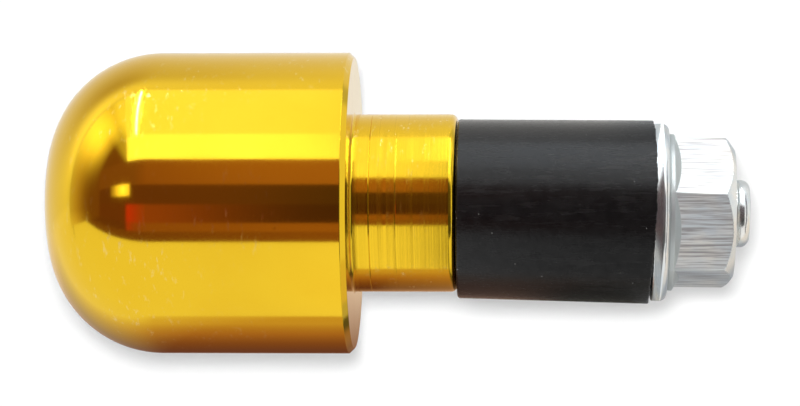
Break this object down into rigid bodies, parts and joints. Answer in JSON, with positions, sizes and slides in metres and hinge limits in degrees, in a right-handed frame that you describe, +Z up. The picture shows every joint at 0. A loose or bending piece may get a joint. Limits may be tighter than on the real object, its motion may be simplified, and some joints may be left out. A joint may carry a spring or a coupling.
{
  "type": "bicycle bar end",
  "caption": "Domed metal bar end with a stepped collar and a rubber plug that swells in the bar's bore when the nut draws the washer up the stud.",
  "frame": {"origin": "centre of the shoulder face, the flat ring behind the dome that seats on the end of the handlebar, on the weight's own axis", "axes": "+X out of the shoulder along the collar and plug, into the bar; the dome is towards -X; +Z up with the bar level; the stud leans slightly towards -Y"},
  "size_m": [0.0675, 0.029, 0.029],
  "materials": {
    "gold_aluminium": "turned, polished and gold anodised",
    "zinc_steel": "bright zinc plate",
    "black_rubber": "satin moulded rubber"
  },
  "bodies": {
    "weight": {"weight": "gold_aluminium", "stud": "zinc_steel", "sleeve": "black_rubber"},
    "washer": {"washer": "zinc_steel"},
    "nut": {"nut": "zinc_steel"}
  },
  "joints": [
    {"name": "clamp_travel", "type": "slide", "parent": "weight", "child": "washer", "axis": [-0.9998, 0.0175, 0], "range_m": [0, 0.00376], "deforming": ["sleeve"]},
    {"name": "nut_turn", "type": "hinge", "parent": "washer", "child": "nut", "pos_m": [0.03003, -0.0009, 0], "axis": [-0.9998, 0.0175, 0], "range_deg": [0, 1080]}
  ],
  "couplings": [
    {"joint": "clamp_travel", "follows": "nut_turn", "m_per_rad": 0.00019894}
  ]
}
